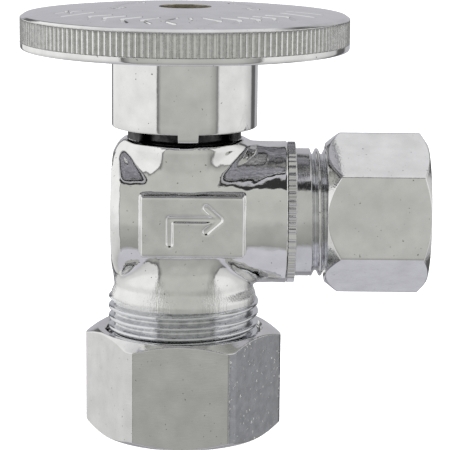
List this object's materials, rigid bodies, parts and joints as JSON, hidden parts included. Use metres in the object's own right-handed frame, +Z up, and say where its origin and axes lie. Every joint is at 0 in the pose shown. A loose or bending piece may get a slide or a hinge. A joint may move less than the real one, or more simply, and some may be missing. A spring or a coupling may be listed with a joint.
{
  "type": "angle stop valve",
  "caption": "Quarter-turn angle stop valve: round knurled handle over a chromed body, compression inlet below and a smaller compression outlet to one side.",
  "frame": {"origin": "middle of the inlet nut's lower face, on the axis that the inlet and the stem share", "axes": "+Z up the inlet and stem axis to the handle, +X out along the outlet, and -Y towards the front with the raised badge panel"},
  "size_m": [0.0552, 0.0444, 0.0584],
  "materials": {
    "body_chrome": "bright chrome plate over forged brass, with a soft orange-peel surface",
    "handle_chrome": "bright chrome plate over a die casting",
    "nut_chrome": "bright chrome plate over machined brass, with fine milling marks",
    "ball_chrome": "polished hard chrome over brass",
    "bare_brass": "machined bare brass",
    "white_ptfe": "smooth white PTFE",
    "black_rubber": "moulded black rubber",
    "screw_steel": "plain stainless steel"
  },
  "bodies": {
    "housing": {"valve_body": "body_chrome", "outlet_adapter": "body_chrome", "adapter_seal_ring": "black_rubber", "outlet_seat": "white_ptfe", "back_seat": "white_ptfe", "outlet_seat_o_ring": "black_rubber", "back_seat_o_ring": "black_rubber"},
    "spindle": {"handle": "handle_chrome", "handle_screw": "screw_steel", "handle_screw_lock_washer": "screw_steel", "stem": "bare_brass", "stem_thrust_washer": "white_ptfe", "stem_o_ring_lower": "black_rubber", "stem_o_ring_upper": "black_rubber"},
    "ball_unit": {"ball": "ball_chrome"},
    "inlet_ferrule": {"inlet_sleeve": "bare_brass"},
    "inlet_union": {"inlet_nut": "nut_chrome"},
    "outlet_ferrule": {"outlet_sleeve": "bare_brass"},
    "outlet_union": {"outlet_nut": "nut_chrome"}
  },
  "joints": [
    {"name": "handle_turn", "type": "hinge", "parent": "housing", "child": "spindle", "pos_m": [0, 0, 0.047], "axis": [0, 0, 1], "range_deg": [-45, 45]},
    {"name": "ball_turn", "type": "hinge", "parent": "housing", "child": "ball_unit", "pos_m": [0, 0, 0.0305], "axis": [0, 0, 1], "range_deg": [-45, 45]},
    {"name": "inlet_sleeve_travel", "type": "slide", "parent": "housing", "child": "inlet_ferrule", "axis": [0, 0, -1], "range_m": [0, 0.0071]},
    {"name": "inlet_nut_spin", "type": "hinge", "parent": "inlet_ferrule", "child": "inlet_union", "pos_m": [0, 0, 0], "axis": [0, 0, -1], "range_deg": [0, 1800]},
    {"name": "outlet_sleeve_travel", "type": "slide", "parent": "housing", "child": "outlet_ferrule", "axis": [1, 0, 0], "range_m": [0, 0.0077]},
    {"name": "outlet_nut_spin", "type": "hinge", "parent": "outlet_ferrule", "child": "outlet_union", "pos_m": [0.033, 0, 0.0305], "axis": [1, 0, 0], "range_deg": [0, 2160]}
  ],
  "couplings": [
    {"joint": "ball_turn", "follows": "handle_turn", "ratio": 1},
    {"joint": "inlet_sleeve_travel", "follows": "inlet_nut_spin", "m_per_rad": 0.00022457},
    {"joint": "outlet_sleeve_travel", "follows": "outlet_nut_spin", "m_per_rad": 0.00020213}
  ]
}
